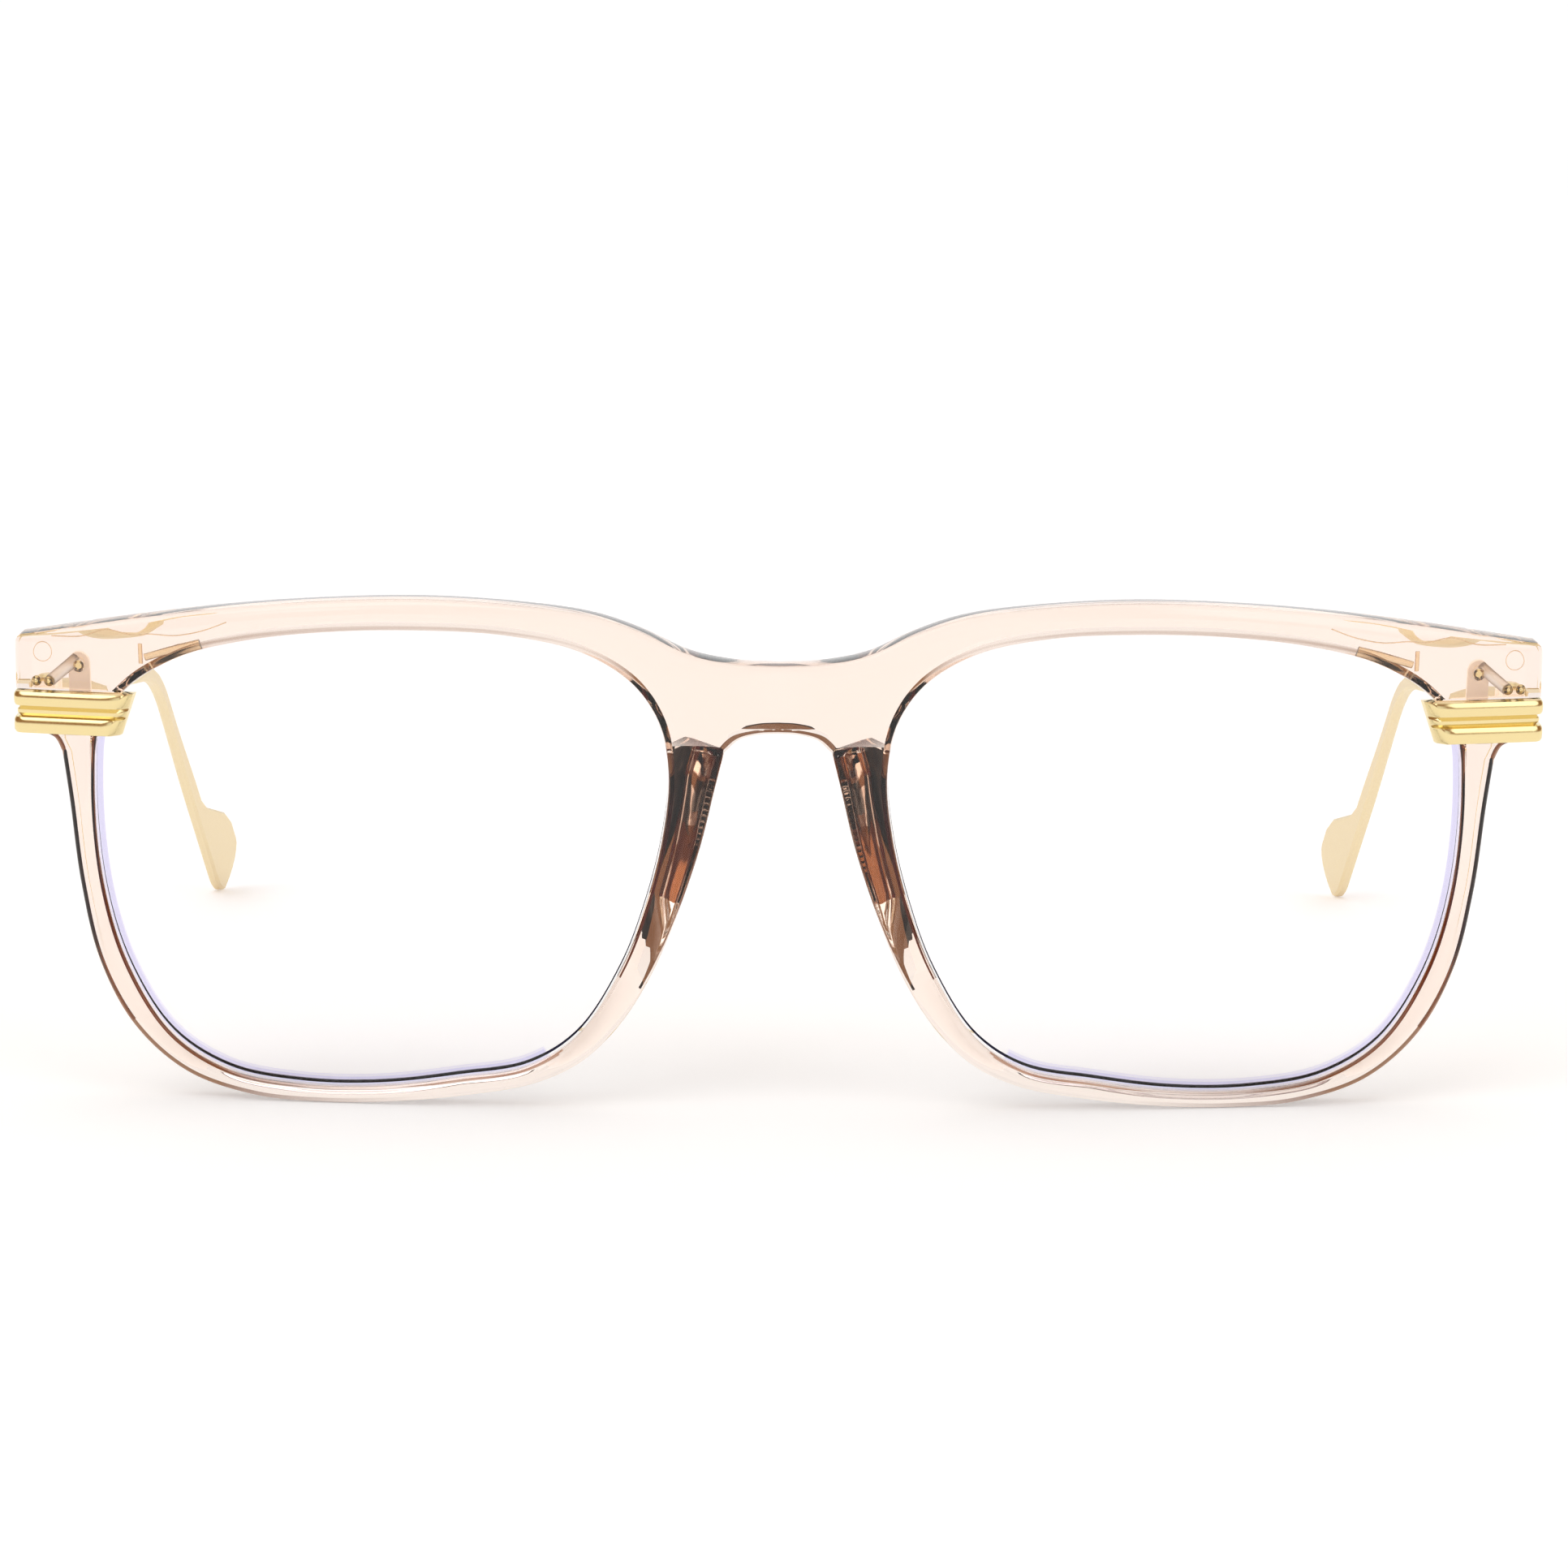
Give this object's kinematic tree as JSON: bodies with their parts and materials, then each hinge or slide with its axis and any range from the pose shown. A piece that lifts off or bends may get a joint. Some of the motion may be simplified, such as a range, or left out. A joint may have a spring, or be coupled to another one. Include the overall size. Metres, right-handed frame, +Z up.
{
  "type": "blue light glasses",
  "caption": "Clear moulded glasses front with two lenses, ridged gold corner trims and slim gold temples that fold and end in flat paddles.",
  "frame": {"origin": "middle of the bounding box's bottom face, on the table the open glasses stand on", "axes": "+Z up, -Y the way the front faces, +X the wearer's left; the temples run back along +Y"},
  "size_m": [0.1424, 0.1483, 0.0478],
  "materials": {
    "champagne_clear": "polished see-through pale champagne plastic",
    "lens_clear": "clear plastic with a faint violet coating",
    "pale_gold": "pale gold plating, polished on the trims and satin on the temples"
  },
  "bodies": {
    "front": {"front_frame": "champagne_clear", "left_lens": "lens_clear", "right_lens": "lens_clear", "left_corner_trim": "pale_gold", "right_corner_trim": "pale_gold", "left_hinge_plate": "pale_gold", "right_hinge_plate": "pale_gold", "left_ear_screw": "pale_gold", "right_ear_screw": "pale_gold", "left_post_screw": "pale_gold", "right_post_screw": "pale_gold", "left_hinge_screw": "pale_gold", "right_hinge_screw": "pale_gold"},
    "left_temple": {"left_temple_hinge": "pale_gold", "left_temple_arm": "pale_gold"},
    "right_temple": {"right_temple_hinge": "pale_gold", "right_temple_arm": "pale_gold"}
  },
  "joints": [
    {"name": "left_temple_fold", "type": "hinge", "parent": "front", "child": "left_temple", "pos_m": [0.0684, -0.05866, 0.03691], "axis": [0, -0.0698, 0.9976], "range_deg": [0, 90]},
    {"name": "right_temple_fold", "type": "hinge", "parent": "front", "child": "right_temple", "pos_m": [-0.0684, -0.05866, 0.03691], "axis": [0, 0.0698, -0.9976], "range_deg": [0, 87]}
  ]
}
